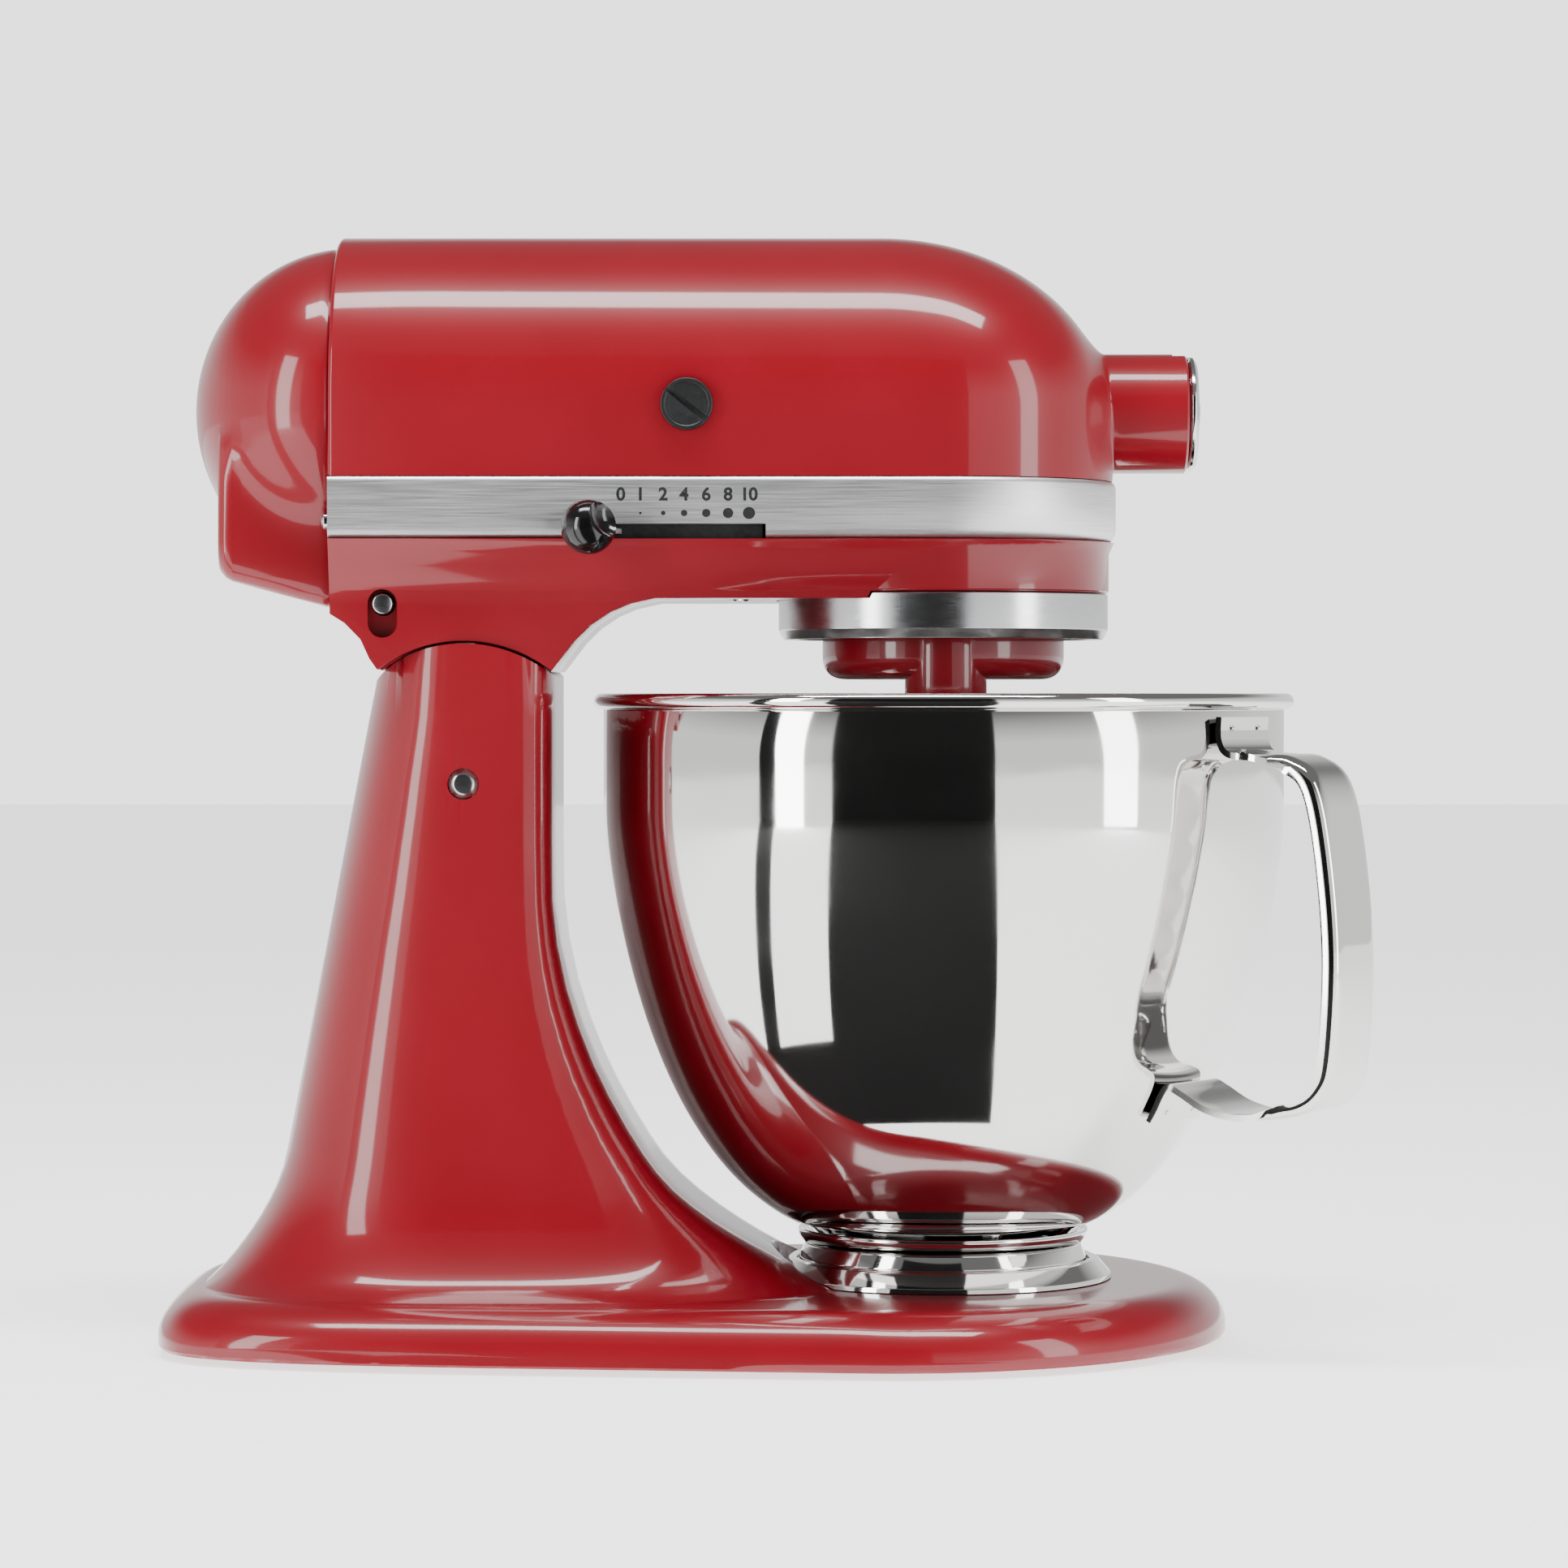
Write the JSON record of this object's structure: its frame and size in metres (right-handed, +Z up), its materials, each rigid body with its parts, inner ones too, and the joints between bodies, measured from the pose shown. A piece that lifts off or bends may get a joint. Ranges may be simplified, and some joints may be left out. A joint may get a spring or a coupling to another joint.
{
  "type": "stand mixer",
  "caption": "Tilt-head stand mixer: cast stand, hinged motor head with planetary beater drive, attachment hub, speed lever and a footed steel bowl with a handle.",
  "frame": {"origin": "centre of the flat foot under the bowl, on the axis that the bowl and the planetary drive share, at the standing surface", "axes": "+X towards the attachment hub, +Y away from the side with the speed lever, +Z up"},
  "size_m": [0.3809, 0.2248, 0.3536],
  "materials": {
    "red_enamel": "gloss enamel over cast metal",
    "polished_steel": "polished",
    "brushed_steel": "brushed",
    "satin_metal": "satin",
    "black_plastic": "gloss",
    "rubber": "matte",
    "cast_iron": "plain",
    "gear_steel": "machined",
    "copper": "machined",
    "bronze": "machined",
    "carbon": "matte",
    "board": "matte",
    "white_coating": "satin coating"
  },
  "bodies": {
    "stand": {"base_pedestal": "red_enamel", "bowl_clamp_plate": "polished_steel", "clamp_screw_1": "cast_iron", "clamp_screw_2": "cast_iron", "clamp_screw_3": "cast_iron", "foot_1": "rubber", "foot_2": "rubber", "foot_3": "rubber", "foot_4": "rubber", "foot_5": "rubber", "hinge_pin": "polished_steel"},
    "head": {"gearcase": "red_enamel", "head_shell": "red_enamel", "rear_cover": "red_enamel", "rear_cover_screw": "gear_steel", "trim_band": "brushed_steel", "trim_screw": "polished_steel", "gearcase_screw": "cast_iron", "cord_inlet_bush": "rubber", "drip_ring": "satin_metal", "ring_gear": "cast_iron", "field_stator": "cast_iron", "motor_bracket_rear": "cast_iron", "motor_bracket_front": "cast_iron", "motor_bearing_rear": "gear_steel", "motor_bearing_front": "gear_steel", "brush_holder_left": "bronze", "brush_holder_right": "bronze", "carbon_brush_left": "carbon", "carbon_brush_right": "carbon", "brush_cap_left": "black_plastic", "brush_cap_right": "black_plastic", "center_bushing": "bronze", "hub_bushing": "bronze", "speed_control_board": "board", "hub_cap_pin": "gear_steel"},
    "armature": {"motor_shaft": "gear_steel", "rotor_core": "cast_iron", "commutator": "copper", "cooling_fan": "black_plastic"},
    "worm_wheel_set": {"worm_wheel": "bronze", "drive_pinion": "gear_steel"},
    "planetary": {"center_gear": "gear_steel", "center_shaft": "gear_steel", "planetary_housing": "red_enamel", "planetary_pin": "gear_steel"},
    "beater": {"beater_shaft": "gear_steel", "planet_pinion": "gear_steel", "beater_pin": "gear_steel", "flat_beater": "white_coating"},
    "hub_drive": {"hub_drive_gear": "gear_steel"},
    "hub_cover": {"hub_cap": "polished_steel"},
    "hub_knob": {"attachment_knob": "black_plastic"},
    "speed_control": {"speed_lever": "brushed_steel", "speed_knob": "black_plastic"},
    "head_lock": {"lock_shaft": "gear_steel", "lock_lever": "black_plastic"},
    "bowl": {"bowl": "polished_steel", "bowl_foot": "polished_steel", "bowl_handle": "polished_steel"}
  },
  "joints": [
    {"name": "head_tilt", "type": "hinge", "parent": "stand", "child": "head", "pos_m": [-0.1517, 0, 0.1789], "axis": [0, -1, 0], "range_deg": [0, 48]},
    {"name": "planetary_spin", "type": "hinge", "parent": "head", "child": "planetary", "pos_m": [0, 0, 0.22], "axis": [0, 0, 1], "continuous": true},
    {"name": "worm_wheel_spin", "type": "hinge", "parent": "head", "child": "worm_wheel_set", "pos_m": [-0.04917, 0.01949, 0.2973], "axis": [0, 0, 1], "continuous": true},
    {"name": "motor_spin", "type": "hinge", "parent": "head", "child": "armature", "pos_m": [-0.12, 0, 0.2973], "axis": [1, 0, 0], "continuous": true},
    {"name": "beater_spin", "type": "hinge", "parent": "planetary", "child": "beater", "pos_m": [0, -0.02763, 0.2], "axis": [0, 0, 1], "continuous": true},
    {"name": "hub_spin", "type": "hinge", "parent": "head", "child": "hub_drive", "pos_m": [0.04, 0, 0.2973], "axis": [1, 0, 0], "continuous": true},
    {"name": "hub_cap_flip", "type": "hinge", "parent": "head", "child": "hub_cover", "pos_m": [0.076, 0, 0.3145], "axis": [0, -1, 0], "range_deg": [0, 95]},
    {"name": "attachment_knob_turn", "type": "hinge", "parent": "head", "child": "hub_knob", "pos_m": [0.066, 0.02, 0.2973], "axis": [0, 1, 0], "range_deg": [0, 720]},
    {"name": "speed_lever_swing", "type": "hinge", "parent": "head", "child": "speed_control", "pos_m": [-0.087, 0, 0.2579], "axis": [0, 0, 1], "range_deg": [0, 41]},
    {"name": "head_lock_turn", "type": "hinge", "parent": "head", "child": "head_lock", "pos_m": [-0.177, 0, 0.2353], "axis": [0, 1, 0], "range_deg": [0, 75]},
    {"name": "bowl_twist", "type": "hinge", "parent": "stand", "child": "bowl", "pos_m": [0, 0, 0.03], "axis": [0, 0, 1], "range_deg": [0, 25]}
  ],
  "couplings": [
    {"joint": "worm_wheel_spin", "follows": "planetary_spin", "ratio": -3.7778},
    {"joint": "motor_spin", "follows": "planetary_spin", "ratio": 56.667},
    {"joint": "beater_spin", "follows": "planetary_spin", "ratio": -3.6},
    {"joint": "hub_spin", "follows": "planetary_spin", "ratio": 2}
  ]
}
